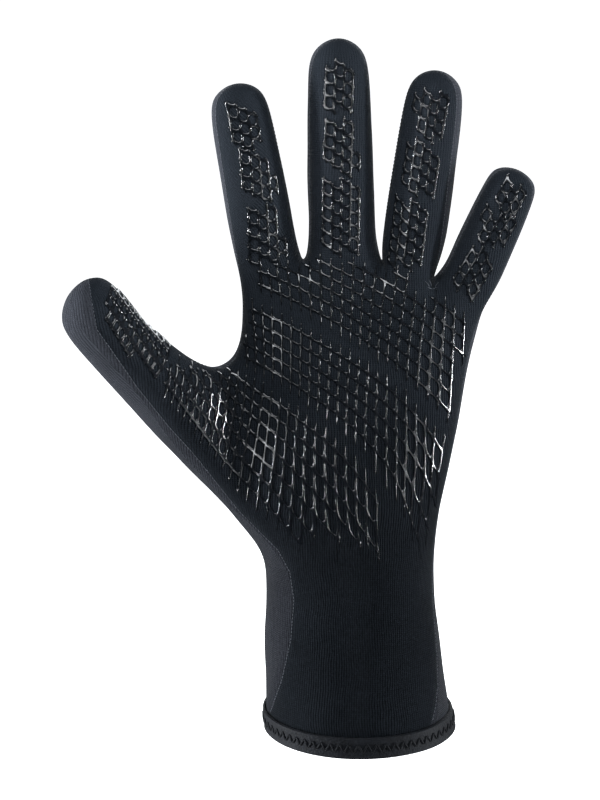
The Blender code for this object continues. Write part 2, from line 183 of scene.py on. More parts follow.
def knit_turn(point):
    """How far the knit is turned from upright at a point."""
    rise = (point.z - TURN_FOOT) / TURN_RISE
    side = (TURN_EDGE - point.x) / TURN_SIDE
    return KNIT_TURN * min(max(rise, 0.0), 1.0) * min(max(side, 0.0), 1.0)


LEAST_WEIGHT = 0.05  # what a vertex still counts at a fingertip, where upright has no direction
HOLD = 1e-6  # keeps the whole map from drifting


def lay_flat(bm):
    """Gives a face of a panel a UV map in metres that follows the knit.

    U runs across the knit's ribs and V up them, so that the ribs are equally far apart on the sides of
    the fingers as well. Each edge asks for its own step in U and V, and least squares settles them.
    """
    bm.verts.index_update()
    bm.normal_update()
    ways = []
    for v in bm.verts:
        across = Vector((0, 0, 1)).cross(v.normal)
        weight = max(across.length, LEAST_WEIGHT)
        across.normalize()
        up = v.normal.cross(across)
        turn = knit_turn(v.co) * (1 if v.normal.y < 0 else -1)
        turned = across * math.cos(turn) + up * math.sin(turn)
        ways.append((turned, v.normal.cross(turned), weight))
    count = len(bm.verts)
    square = np.eye(count) * HOLD
    sides = np.zeros((count, 2))
    for edge in bm.edges:
        i, j = (v.index for v in edge.verts)
        step = edge.verts[1].co - edge.verts[0].co
        weight = ways[i][2] * ways[j][2] / edge.calc_length()
        wanted = [step.dot(ways[i][k] + ways[j][k]) / 2 for k in (0, 1)]
        square[i, i] += weight
        square[j, j] += weight
        square[i, j] -= weight
        square[j, i] -= weight
        for k in (0, 1):
            sides[i, k] -= weight * wanted[k]
            sides[j, k] += weight * wanted[k]
    flat = np.linalg.solve(square, sides)
    layer = bm.loops.layers.uv.new("knit")
    for face in bm.faces:
        for loop in face.loops:
            loop[layer].uv = flat[loop.vert.index]


def subdivided(mesh, levels):
    """A copy of a mesh with its subdivision applied."""
    thing = new_object("rough", mesh)
    smooth = thing.modifiers.new("Smooth", "SUBSURF")
    smooth.levels = smooth.render_levels = levels
    smooth.boundary_smooth = "PRESERVE_CORNERS"
    bpy.context.view_layer.update()
    graph = bpy.context.evaluated_depsgraph_get()
    fine = bpy.data.meshes.new_from_object(thing.evaluated_get(graph))
    bpy.data.objects.remove(thing)
    return fine


def smoothed(bm, name, levels):
    """Subdivides a mesh whose own vertices stay where they are, so that it doesn't shrink."""
    mesh = bpy.data.meshes.new(name)
    bm.to_mesh(mesh)
    true = places(mesh)
    now = true.copy()
    for _ in range(SETTLING):
        fine = subdivided(mesh, levels)
        now += true - places(fine)[: len(true)]
        set_places(mesh, now)
    return subdivided(mesh, levels)


def shape_skin(mesh, seam):
    """Sinks a groove along the seam's points and gives the skin its soft unevenness."""
    tree = point_tree(seam)
    points = places(mesh)
    normals = np.array([v.normal for v in mesh.vertices])
    for i, point in enumerate(points):
        place = Vector(point)
        away = tree.find(place)[2]
        sink = GROOVE_DEPTH * math.exp(-((away / GROOVE_WIDTH) ** 2))
        swell = FOLD_HEIGHT * noise.noise(place / FOLD_SIZE) * min(away / FOLD_FREE, 1.0)
        points[i] += normals[i] * (swell - sink)
    set_places(mesh, points)


# The photograph's camera: it stands in front of the palm and a little above it.
CAMERA_TARGET = Vector((-0.024, 0, 0.1405))
CAMERA_RISE = math.radians(16)
CAMERA_AWAY = 0.85
FOCAL = 2125  # in pixels of the 600 x 800 image
IMAGE = (600, 800)


def camera_frame():
    """The camera's place and its directions to the right, up and back."""
    back = Vector((0, -math.cos(CAMERA_RISE), math.sin(CAMERA_RISE)))
    up = Vector((0, math.sin(CAMERA_RISE), math.cos(CAMERA_RISE)))
    return CAMERA_TARGET + back * CAMERA_AWAY, Vector((1, 0, 0)), up, back


def pixel_of(point):
    """The pixel at which the photograph's camera sees a point."""
    eye, right, up, back = camera_frame()
    way = point - eye
    away = -way.dot(back)
    return IMAGE[0] / 2 + FOCAL * way.dot(right) / away, IMAGE[1] / 2 - FOCAL * way.dot(up) / away


# The seam on the glove's left side as the photograph shows it, from the thumb's tip down to the hem,
# in pixels. The two panels' colours meet along it.
LEFT_SEAM = (
    (86, 264), (88, 276), (92, 303), (97, 330), (110, 348), (137, 387), (170, 428), (193, 453), (220, 487),
    (240, 512), (262, 534), (278, 550), (290, 572), (294, 600), (291, 640), (282, 680), (267, 722),
)
# Where the right seam leaves the CAD's and curves in above the hem, in pixels.
RIGHT_SEAM = ((437, 688), (436, 703), (433, 718), (428, 733))
PIXEL = 0.0004  # metres to a pixel at the glove
FAR_SIDE = 0.02  # a distance from the border that is well inside one colour
LEFT_PART, RIGHT_PART = -0.02, 0.02  # the drawn seams lie left of the first X and right of the second
THUMB_PART = -0.03  # the X left of which the back panel shows beside the left seam
PAST_SEAM = 0.012  # how far right of the left seam the back panel still takes its colour from it
SEAM_STEP = 1.5  # pixels from one point of a drawn seam to the next
# How far right of the drawn left seam the CAD's own seam has to lie to show, above a row of pixels
# and below it.
OWN_ROW, OWN_ABOVE, OWN_BELOW = 400, 0.005, 0.011


def between(one, two, share):
    """The place at a share of the way from one pair of numbers to another."""
    return one[0] + (two[0] - one[0]) * share, one[1] + (two[1] - one[1]) * share


def seam_at(line, v):
    """Where a drawn seam crosses a row of pixels, and how far it goes sideways from row to row there."""
    for (u0, v0), (u1, v1) in zip(line, line[1:]):
        if v < v1 or v1 == line[-1][1]:
            slope = (u1 - u0) / (v1 - v0)
            return u0 + slope * (v - v0), slope


def left_of_seam(point):
    """How far a point lies to the left of the left seam, in metres across the picture."""
    u, v = pixel_of(point)
    seam, slope = seam_at(LEFT_SEAM, v)
    return (seam - u) * PIXEL / math.hypot(1, slope)


def right_of_seam(point):
    """How far a point lies to the right of the right seam's drawn end, in metres, or far to its left."""
    u, v = pixel_of(point)
    if point.x < RIGHT_PART or v < RIGHT_SEAM[0][1]:
        return -FAR_SIDE
    return (u - seam_at(RIGHT_SEAM, v)[0]) * PIXEL


def mark_side(mesh, back_panel):
    """Stores how deep each vertex is in the back's colour: above 0 there, below 0 in the palm's."""
    eye = camera_frame()[0]
    sides = []
    for v in mesh.vertices:
        side = FAR_SIDE if back_panel else -FAR_SIDE
        left = left_of_seam(v.co)
        facing = v.normal.dot(eye - v.co) > 0
        if v.co.x < THUMB_PART and (left > 0 if not back_panel else facing and left > -PAST_SEAM):
            side = left
        elif not back_panel and v.co.x < LEFT_PART:
            side = max(left, -FAR_SIDE)
        elif not back_panel:
            side = right_of_seam(v.co)
        sides.append(side)
    attribute = mesh.attributes.new("side", "FLOAT", "POINT")
    attribute.data.foreach_set("value", np.array(sides, np.float32))


def own_seam(point):
    """Whether the seam between the CAD's panels shows as a seam here, and not the drawn one."""
    v = pixel_of(point)[1]
    if point.x > LEFT_PART:
        return point.x < RIGHT_PART or point.y > 0 or v < RIGHT_SEAM[0][1]
    return left_of_seam(point) < -(OWN_ABOVE if v < OWN_ROW else OWN_BELOW)


def drawn_seam(skins, line):
    """A drawn seam's points on whichever skin the camera sees there."""
    eye, found = skins[0].eye, []
    for one, two in zip(line, line[1:]):
        steps = max(round(math.dist(one, two) / SEAM_STEP), 1)
        for k in range(steps):
            hits = [skin.at_pixel(*between(one, two, k / steps)) for skin in skins]
            seen = [hit[0] for hit in hits if hit is not None]
            if seen:
                found.append(min(seen, key=lambda place: (place - eye).length))
    return found


class Surface:
    """A skin as something to lay pieces on: it answers where a ray meets it."""

    def __init__(self, mesh):
        bm = bm_of(mesh)
        self.tree = BVHTree.FromBMesh(bm)
        self.normals = [v.normal.copy() for v in mesh.vertices]
        self.points = [v.co.copy() for v in mesh.vertices]
        self.faces = [tuple(p.vertices) for p in mesh.polygons]
        bm.free()
        self.mesh = mesh
        self.eye, self.right, self.up, self.back = camera_frame()

    def smooth_normal(self, place, face):
        """The normal at a place on a face, weighed between the face's corners."""
        total = Vector()
        for i in self.faces[face]:
            total += self.normals[i] / max((self.points[i] - place).length, 1e-6)
        return total.normalized()

    def along(self, origin, way):
        """Where a ray meets the skin and the way out of it, or None."""
        place, _, face, _ = self.tree.ray_cast(origin, way)
        if place is None:
            return None
        return place, self.smooth_normal(place, face)

    def at_pixel(self, u, v):
        """The point of the skin that the camera sees at a pixel."""
        way = self.right * (u - IMAGE[0] / 2) / FOCAL - self.up * (v - IMAGE[1] / 2) / FOCAL - self.back
        return self.along(self.eye, way)

    def nearest(self, point):
        place, _, face, _ = self.tree.find_nearest(point)
        return place, self.smooth_normal(place, face)


# The palm's net hangs on rows of knots, counted down from the upper bare stripe, and columns, counted
# from the left. Each knot is a column and the pixel of the photograph where it lies. Knots between
# these are spaced evenly along smooth curves.
ROWS = {
    -6: ((-6, 254, 222), (0, 310, 244), (6, 375, 276), (9, 405, 294), (12, 434, 315), (15, 463, 338)),
    -3: (
        (-6, 252, 258), (-3, 277, 265), (0, 310, 280), (3, 342, 297),
        (6, 371, 316), (9, 399, 335), (12, 430, 359), (15, 461, 386),
    ),
    -1: (
        (-6, 251, 280), (-3, 281, 294), (0, 311, 309), (3, 341, 325),
        (6, 369, 343), (9, 397, 363), (12, 428, 390), (15, 459, 422),
    ),
    1: (
        (-6, 253, 310), (-3, 282, 322), (0, 311, 338), (3, 340, 355),
        (6, 368, 373), (9, 396, 395), (12, 425, 427), (15, 450, 463),
    ),
    3: (
        (-6, 255, 336), (-3, 282, 349), (0, 310, 365), (3, 338, 383),
        (6, 366, 404), (9, 396, 433), (12, 424, 475), (15, 440, 520),
    ),
    5: (
        (-6, 256, 362), (-3, 282, 376), (0, 309, 394), (3, 337, 414),
        (6, 365, 439), (9, 396, 480), (12, 418, 540),
    ),
    7: (
        (-12, 205, 350), (-9, 230, 371), (-6, 254, 389), (-3, 280, 405),
        (0, 306, 425), (3, 335, 449), (6, 366, 486), (9, 396, 534),
    ),
    9: (
        (-15, 186, 348), (-12, 204, 372), (-9, 228, 393), (-6, 251, 415),
        (-3, 277, 435), (0, 304, 461), (3, 336, 492), (6, 367, 536),
    ),
    11: (
        (-18, 166, 351), (-15, 184, 375), (-12, 203, 397), (-9, 224, 420),
        (-6, 246, 444), (-3, 273, 470), (0, 303, 501), (3, 338, 540),
    ),
    13: (
        (-18, 161, 378), (-15, 180, 402), (-12, 197, 424), (-9, 217, 450),
        (-6, 240, 477), (-3, 268, 506), (0, 300, 544),
    ),
    15: ((-18, 156, 404), (-15, 174, 428), (-12, 190, 451), (-9, 210, 480), (-6, 234, 510), (-3, 263, 543)),
}
FIRST_COLUMN, LAST_COLUMN = -19, 15
FIRST_ROW, LAST_ROW = -8, 15
STRIPES = (-1, 0, 5, 6)  # cells that hang from these rows are missing: the two bare stripes


def curve_at(knots, share):
    """A smooth curve through (where, x, y) knots, read at one place. It runs on straight past its ends."""
    where = [k[0] for k in knots]
    points = [Vector(k[1:]) for k in knots]
    last = len(knots) - 1
    slopes = []
    for k in range(last + 1):
        a, b = max(k - 1, 0), min(k + 1, last)
        slopes.append((points[b] - points[a]) / (where[b] - where[a]))
    if share <= where[0]:
        return points[0] + slopes[0] * (share - where[0])
    if share >= where[-1]:
        return points[-1] + slopes[-1] * (share - where[-1])
    k = max(i for i in range(last) if where[i] <= share)
    span = where[k + 1] - where[k]
    t = (share - where[k]) / span
    return (
        points[k] * (2 * t**3 - 3 * t**2 + 1)
        + slopes[k] * span * (t**3 - 2 * t**2 + t)
        + points[k + 1] * (3 * t**2 - 2 * t**3)
        + slopes[k + 1] * span * (t**3 - t**2)
    )


def palm_knot(column, row):
    """The pixel of a knot of the palm's net; column and row may be fractions."""
    knots = []
    for at, guide in ROWS.items():
        pixel = curve_at(guide, column)
        knots.append((at, pixel.x, pixel.y))
    return curve_at(knots, row)


# A net's cell, as shares of the cell from its middle to its edge: how far out each ring of vertices
# stands, from the strands' middles inwards to the opening's edge, and how high, in strand heights.
CELL_RINGS = ((1.0, 1.0), (0.5, 0.99), (0.24, 0.84), (0.08, 0.4), (0.0, -0.25))
CELL_SIDES = 16
# The first of the four steps round a cell that lie along its right, upper, left and lower side.
SIDE_STARTS = {(1, 0): 14, (0, -1): 2, (-1, 0): 6, (0, 1): 10}
STRAND_HEIGHT = 0.00055
STRAND_SUNK = 0.00012  # how deep a loose end's lower edges stand in the skin
NET_MERGE = 0.000002  # net vertices nearer than this are one vertex
LONGEST_END = 0.012  # a loose end that would be longer lies on steep skin and is left out
SAME_WAY = 0.8  # the least cosine between the skin's ways out at a loose end's two ends
# A loose end's cross sections: how far along it each is, how wide and how high, as shares.
END_SECTIONS = ((-0.15, 1.0, 1.0), (0.4, 0.9, 0.95), (0.85, 0.65, 0.75), (1.0, 0.25, 0.1))
SCATTER = (7.3, 5.1)  # steps in the noise that makes the loose ends unevenly long
UNEVEN = 0.5
# The outline of a section: how far aside and how high each point is, as shares.
END_OUTLINE = ((-1, 0), (-0.75, 0.85), (0, 1), (0.75, 0.85), (1, 0))


def cell_rings(wide, tall, square, skew=0.0):
    """The rings of one cell in its own square of -1 to 1: lists of (across, up, height).

    wide and tall are the opening's share of the cell, square is the power of its rounded outline, and
    skew lifts its right side to make up for rows that slant.
    """
    rings = []
    for out, height in CELL_RINGS:
        ring = []
        for k in range(CELL_SIDES):
            angle = 2 * math.pi * k / CELL_SIDES
            c, s = math.cos(angle), math.sin(angle)
            edge = 1 / max(abs(c), abs(s))
            hole = (abs(c) ** square + abs(s) ** square) ** (-1 / square)
            across = out * c * edge + (1 - out) * c * hole * wide
            up = out * s * edge + (1 - out) * (s * hole * tall + c * hole * wide * skew)
            ring.append((across, up, height))
        rings.append(ring)
    return rings


class Net:
    """A raised net of rubber strands on a skin, built cell by cell.

    spot turns a column and a row, which may be fractions, into a point of the skin and its normal.
    shape_of gives the rings of a cell, and fade how much of the strands' height is left at a place.
    """

    def __init__(self, spot, shape_of, fade=None):
        self.bm = bmesh.new()
        self.spot = spot
        self.shape_of = shape_of
        self.fade = fade or (lambda column, row: 1.0)
        self.cells = set()

    def vertex(self, column, row, height):
        found = self.spot(column, row)
        if found is None:
            return None
        place, normal = found
        return self.bm.verts.new(place + normal * height * STRAND_HEIGHT * self.fade(column, row))

    def strip(self, cell, steps):
        """The faces of a cell next to some of the steps round its edge."""
        column, row = cell
        rings = self.shape_of(cell)
        made = {}
        for k in steps:
            for n in (k, (k + 1) % CELL_SIDES):
                if n not in made:
                    made[n] = [
                        self.vertex(column + 0.5 + ring[n][0] / 2, row + 0.5 - ring[n][1] / 2, ring[n][2])
                        for ring in rings
                    ]
        for k in steps:
            one, two = made[k], made[(k + 1) % CELL_SIDES]
            if None in one or None in two:
                continue
            for a, b, c, d in zip(one, two, two[1:], one[1:]):
                self.bm.faces.new((a, d, c, b))

    def build(self, cells, spikes):
        """Builds the cells, the outer half of the strands round them and the strands' loose ends."""
        self.cells = set(cells)
        edges = {}
        for cell in sorted(self.cells):
            self.strip(cell, list(range(CELL_SIDES)))
            for (dx, dy), start in SIDE_STARTS.items():
                other = (cell[0] + dx, cell[1] + dy)
                if other not in self.cells:
                    back = start + CELL_SIDES // 2
                    steps = [(back + k) % CELL_SIDES for k in range(CELL_SIDES // 4)]
                    edges.setdefault(other, []).extend(steps)
        for cell in sorted(edges):
            self.strip(cell, sorted(set(edges[cell])))
        bmesh.ops.remove_doubles(self.bm, verts=self.bm.verts, dist=NET_MERGE)
        self.add_spikes(spikes)
        bmesh.ops.recalc_face_normals(self.bm, faces=self.bm.faces)

    def add_spikes(self, spikes):
        """A tapered end wherever a strand would run on past the net's border."""
        knots = {(c + dx, r + dy) for c, r in self.cells for dx in (0, 1) for dy in (0, 1)}
        for column, row in sorted(knots):
            for (dx, dy), (length, half) in spikes.items():
                if dy:
                    beside = [(column + side, row + min(dy, 0)) for side in (-1, 0)]
                else:
                    beside = [(column + min(dx, 0), row + side) for side in (-1, 0)]
                if not any(cell in self.cells for cell in beside):
                    where = (column * SCATTER[0], row * SCATTER[1], dx + 2 * dy + 0.5)
                    uneven = 1 + UNEVEN * noise.noise(Vector(where))
                    self.spike(column, row, dx, dy, length * uneven, half)

    def spike(self, column, row, dx, dy, length, half):
        """One loose end: length is a share of the cell, half its half width in metres."""
        start = self.spot(column, row)
        end = self.spot(column + dx * length, row + dy * length)
        if start is None or end is None:
            return
        way = end[0] - start[0]
        if way.length > LONGEST_END or start[1].dot(end[1]) < SAME_WAY:
            return
        left = self.fade(column, row)
        lines = []
        for share, width, high in END_SECTIONS:
            point = start[0] + way * share
            normal = start[1].lerp(end[1], max(share, 0)).normalized()
            side = way.cross(normal).normalized() * half * left * width
            top = normal * STRAND_HEIGHT * left * high
            low = normal * -STRAND_SUNK
            points = [point + side * aside + (top * rise if rise else low) for aside, rise in END_OUTLINE]
            lines.append([self.bm.verts.new(p) for p in points])
        for one, two in zip(lines, lines[1:]):
            for a, b, c, d in zip(one, one[1:], two[1:], two):
                self.bm.faces.new((a, b, c, d))
        self.bm.faces.new(lines[-1])


def node_tree(name):
    """A CAD node as something that a ray can meet."""
    bm = bm_of(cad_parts[name].data)
    tree = BVHTree.FromBMesh(bm)
    bm.free()
    return tree


NEAR = 0.002  # how far below and above the skin a CAD node is looked for


def over(tree, found):
    """Whether a spot of the skin lies at a CAD node."""
    if found is None:
        return False
    place, out = found
    return tree.ray_cast(place - out * NEAR, out, 2 * NEAR)[0] is not None


# How wide, tall and square the openings of the palm's net are.
PALM_CELL = cell_rings(0.81, 0.86, 3.0)
LEFT_CELL = cell_rings(0.75, 0.78, 3.0)
LEFT_END = -3  # the columns left of this one are the palm's left end
THUMB_SIDE_CELL = cell_rings(0.70, 0.72, 2.4)
WRIST_CELL = cell_rings(0.80, 0.93, 3.2)
WRIST = 482  # the row of pixels below which the net's rows of strands grow thin
# Where the seams meet between the fingers and where the index finger's last pad ends, in pixels, with
# how far the palm's net stays away.
WEB_ENDS = ((304, 260, 18), (383, 262, 14), (432, 286, 13))
PAD_ENDS = ((254, 262, 16), (266, 258, 16), (278, 254, 16))
STEEP = 0.35  # the least cosine between the skin's way out and the camera under the palm's net
FADE = (470, 540)  # the net grows flatter between these rows of pixels, towards the wrist
FADED = 0.3
THUMB_SIDE = -8  # the columns left of this one are near the thumb
# A strand's loose end in each direction of column and row: its share of the cell and its half width.
PALM_SPIKES = {
    (0, -1): (0.72, 0.00032),
    (0, 1): (0.78, 0.00032),
    (-1, 0): (0.45, 0.0005),
    (1, 0): (0.3, 0.0004),
}


def palm_net(skin, finish):
    """The palm's nets, on the CAD's two palm prints and parted by the two bare stripes."""
    nodes = {name: node_tree(name) for name in ("grip_palm", "grip_heel")}

    def spot(column, row):
        pixel = palm_knot(column, row)
        return skin.at_pixel(pixel.x, pixel.y)

    def fade(column, row):
        """What is left of the strands' height at a place of the net."""
        share = (palm_knot(column, row).y - FADE[0]) / (FADE[1] - FADE[0])
        return 1 - (1 - FADED) * min(max(share, 0), 1)

    def lies_flat(column, row):
        """Whether the skin faces the camera well enough all over a cell."""
        for x, y in ((0, 0), (1, 0), (0, 1), (1, 1), (0.5, 0.5)):
            found = spot(column + x, row + y)
            if found is None or found[1].dot((skin.eye - found[0]).normalized()) < STEEP:
                return False
        return True

    def shape_of(cell):
        """The rings of a cell of the net."""
        if palm_knot(cell[0] + 0.5, cell[1] + 0.5).y > WRIST:
            return WRIST_CELL
        if cell[0] < THUMB_SIDE:
            return THUMB_SIDE_CELL
        return LEFT_CELL if cell[0] < LEFT_END else PALM_CELL

    cells = {name: [] for name in nodes}
    for row in range(FIRST_ROW, LAST_ROW):
        for column in range(FIRST_COLUMN, LAST_COLUMN):
            middle = spot(column + 0.5, row + 0.5)
            if row in STRIPES or middle is None or not lies_flat(column, row):
                continue
            pixel = palm_knot(column + 0.5, row + 0.5)
            if any((pixel - Vector((x, y))).length < clear for x, y, clear in WEB_ENDS + PAD_ENDS):
                continue
            for name, tree in nodes.items():
                if over(tree, middle):
                    cells[name].append((column, row))
                    break
    for name, found in cells.items():
        net = Net(spot, shape_of, fade)
        net.build(found, PALM_SPIKES)
        piece = link(name + "_net", mesh_of(net.bm, name + "_net"), finish)
        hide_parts(name)


# The finger pads' nets. Each has its middle's pixel, its lean from upright in degrees, the step to the
# next column across the finger and to the next row down it in pixels, and the rows' slant.
PADS = {
    "grip_index_tip": ((249, 124), -13, 8.0, 12.0, 35),
    "grip_index_middle": ((260, 171), -10, 8.0, 12.5, 35),
    "grip_index_base": ((268, 232), -6, 8.4, 13.0, 35),
    "grip_middle_tip": ((344, 80), 0, 8.0, 12.0, 35),
    "grip_middle_middle": ((343, 145), 1, 8.1, 12.2, 35),
    "grip_middle_base": ((341, 217), 1, 8.3, 12.4, 35),
    "grip_ring_tip": ((429, 110), 12, 7.9, 12.0, 35),
    "grip_ring_middle": ((420, 171), 11, 8.0, 12.0, 35),
    "grip_ring_base": ((407, 237), 11, 8.2, 12.4, 35),
    "grip_little_tip": ((506, 197), 28, 7.6, 11.0, 40),
    "grip_little_middle": ((489, 236), 30, 8.0, 11.5, 40),
    "grip_little_base": ((464, 279), 32, 8.4, 12.0, 40),
    "grip_thumb_tip": ((131, 340), -41, 9.7, 8.6, -10),
}
PAD_CELL = cell_rings(0.79, 0.76, 2.3, 0.36)
THUMB_CELL = cell_rings(0.68, 0.70, 2.1)
UPRIGHT, SIDEWAYS = (0.24, 0.0004), (0.26, 0.00045)
PAD_SPIKES = {(0, -1): UPRIGHT, (0, 1): UPRIGHT, (-1, 0): SIDEWAYS, (1, 0): SIDEWAYS}
INSIDE = ((0.2, 0.5), (0.8, 0.5), (0.5, 0.2), (0.5, 0.8))  # places of a cell that have to be on its pad
PAD_OFF_SEAM = 0.0045
PAD_REACH = 14  # columns and rows that are tried each way from a pad's middle
PAD_ABOVE = 0.02  # where the rays start that lay a pad's net on its finger


def finger_net(skin, node, finish):
    """The raised net that stands for one of the CAD's plain finger pads."""
    middle, lean, across, down, slant = PADS[node]
    lean, slant = math.radians(lean), math.radians(slant)
    along = Vector((-math.sin(lean), math.cos(lean)))
    side = Vector((math.cos(lean), math.sin(lean)))
    column_step = side * across + along * across * math.tan(slant)
    tree = node_tree(node)
    centre, out = skin.at_pixel(*middle)
    steps = []
    for step in (column_step, along * down):
        way = skin.right * step.x - skin.up * step.y
        way -= out * way.dot(out)
        steps.append(way.normalized() * step.length * PIXEL)

    def spot(column, row):
        return skin.along(centre + steps[0] * column + steps[1] * row + out * PAD_ABOVE, -out)

    cells = []
    for row in range(-PAD_REACH, PAD_REACH):
        for column in range(-PAD_REACH, PAD_REACH):
            found = [spot(column + x, row + y) for x, y in INSIDE]
            if all(over(tree, hit) for hit in found) and left_of_seam(found[0][0]) < -PAD_OFF_SEAM:
                cells.append((column, row))
    shape = THUMB_CELL if node == "grip_thumb_tip" else PAD_CELL
    net = Net(spot, lambda cell: shape)
    net.build(cells, PAD_SPIKES)
    piece = link(node + "_net", mesh_of(net.bm, node + "_net"), finish)
    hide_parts(node)


THIN_END = 0.55  # how thick a thread is at its two ends, as a share


def tube(bm, path, radius, sides=6):
    """A piece of thread along a path, thinner at its two closed ends."""
    last = len(path) - 1
    start = (path[1] - path[0]).orthogonal().normalized()
    rings = []
    for k, point in enumerate(path):
        way = (path[min(k + 1, last)] - path[max(k - 1, 0)]).normalized()
        side = (start - way * start.dot(way)).normalized()
        other = way.cross(side)
        size = radius * (THIN_END if k in (0, last) else 1)
        ring = []
        for n in range(sides):
            angle = 2 * math.pi * n / sides
            ring.append(bm.verts.new(point + (side * math.cos(angle) + other * math.sin(angle)) * size))
        rings.append(ring)
    for one, two in zip(rings, rings[1:]):
        for n in range(sides):
            m = (n + 1) % sides
            bm.faces.new((one[n], one[m], two[m], two[n]))
    bm.faces.new(rings[0][::-1])
    bm.faces.new(rings[-1])


def rim_loops(mesh):
    """The open edges of a mesh as closed loops of points."""
    bm = bm_of(mesh)
    left = {v for v in bm.verts if v.is_boundary}
    loops = []
    for v in sorted(left, key=lambda v: v.index):
        if v not in left:
            continue
        loop = []
        while v is not None:
            left.discard(v)
            loop.append(v.co.copy())
            beside = [e.other_vert(v) for e in v.link_edges if e.is_boundary]
            v = next((other for other in beside if other in left), None)
        loops.append(loop)
    bm.free()
    return loops


def spaced(path, pitch):
    """Points that lie a pitch apart along a path."""
    points, carried = [], 0.0
    for a, b in zip(path, path[1:]):
        length = (b - a).length
        while carried < length:
            points.append(a.lerp(b, carried / length))
            carried += pitch
        carried -= length
    return points


SEAM_PITCH = 0.0015
SEAM_STITCH = 0.00105
THREAD = 0.00013
THREAD_SIDES = 5
# How far from a stitch's middle each of its points lies, in half stitches, and how high.
STITCH_SECTIONS = ((-1, -0.0001), (-0.5, 0.00012), (0.5, 0.00012), (1, -0.0001))
SEAM_END = 0.009  # the seam's stitches stop under the hem, at this height

# The stitches beside the little finger, each from one pixel to another, counted from the seams' end.
WEB_STITCHES = ((-7, -5, -2, 1), (-3, -6, 0, 1), (3, -6, 1, 1), (7, -4, 3, 1), (-5, 1, 0, 3), (5, 1, 1, 3))
WEB_SECTIONS = ((0.0, -0.0001), (0.3, 0.00015), (0.7, 0.00015), (1.0, -0.0001))  # share along, height
WEB_LONGEST = 0.006  # a longer stitch would bridge the gap between two fingers


def add_web_stitches(bm, skin, web):
    """The few stitches that fasten the seams' end beside the little finger."""
    for x0, y0, x1, y1 in WEB_STITCHES:
        path = []
        for share, out in WEB_SECTIONS:
            hit = skin.at_pixel(web[0] + x0 + (x1 - x0) * share, web[1] + y0 + (y1 - y0) * share)
            if hit is not None:
                path.append(hit[0] + hit[1] * out)
        if len(path) == len(WEB_SECTIONS) and (path[-1] - path[0]).length < WEB_LONGEST:
            tube(bm, path, THREAD, THREAD_SIDES)


def seam_thread(skins, finish):
    """The small stitches along the seams between the two panels."""
    bm = bmesh.new()
    skin = skins[0]
    drawn = [drawn_seam(skins, line) for line in (LEFT_SEAM, RIGHT_SEAM)]
    for path in [*(loop + loop[:1] for loop in rim_loops(skin.mesh)), *drawn]:
        points = spaced(path, SEAM_PITCH)
        for a, b in zip(points, points[1:]):
            if min(a.z, b.z) < SEAM_END or (b - a).length > 2 * SEAM_PITCH:
                continue
            if all(path is not line for line in drawn) and not own_seam(a):
                continue
            way = (b - a).normalized() * SEAM_STITCH / 2
            middle = (a + b) / 2
            out = min((s.nearest(middle) for s in skins), key=lambda hit: (hit[0] - middle).length)[1]
            stitch = [middle + way * share + out * high for share, high in STITCH_SECTIONS]
            tube(bm, stitch, THREAD, THREAD_SIDES)
    add_web_stitches(bm, skin, WEB_ENDS[-1])
    link("seam_thread", mesh_of(bm, "seam_thread"), finish)


HEM_PITCH = 0.0038
HEM_LOW, HEM_HIGH = 0.0024, 0.0056  # heights between which the hem's zigzag runs
HEM_THREAD = 0.00044
HEM_STEPS = 720  # places round the hem that its length is measured by
HEM_AWAY = 0.08  # farther out than the hem reaches
# How far along a stitch of the zigzag each of its points lies, and how high over the tape.
HEM_SECTIONS = ((0.0, -0.00015), (0.12, 0.00016), (0.5, 0.0002), (0.88, 0.00016), (1.0, -0.00015))


def around_hem(hem, middle, angle, height):
    """The point of the hem's outer side at an angle and a height, and its normal."""
    way = Vector((math.cos(angle), math.sin(angle), 0))
    return hem.along(Vector((middle.x, middle.y, height)) + way * HEM_AWAY, -way)


def hem_thread(hem, finish):
    """The zigzag stitch that holds the folded hem."""
    low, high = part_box("cuff_hem")
    middle = (low + high) / 2
    half_way = (HEM_LOW + HEM_HIGH) / 2
    turn = 2 * math.pi / HEM_STEPS
    ring = [around_hem(hem, middle, turn * k, half_way)[0] for k in range(HEM_STEPS)]
    lengths = [0.0]
    for a, b in zip(ring, ring[1:] + ring[:1]):
        lengths.append(lengths[-1] + (b - a).length)
    count = 2 * round(lengths[-1] / HEM_PITCH)
    knots = []
    for k in range(count + 1):
        step = np.interp(lengths[-1] * k / count, lengths, range(HEM_STEPS + 1))
        knots.append((turn * step, HEM_HIGH if k % 2 else HEM_LOW))
    bm = bmesh.new()
    for one, two in zip(knots, knots[1:]):
        path = []
        for share, out in HEM_SECTIONS:
            place, normal = around_hem(hem, middle, *between(one, two, share))
            path.append(place + normal * out)
        tube(bm, path, HEM_THREAD)
    link("hem_thread", mesh_of(bm, "hem_thread"), finish)


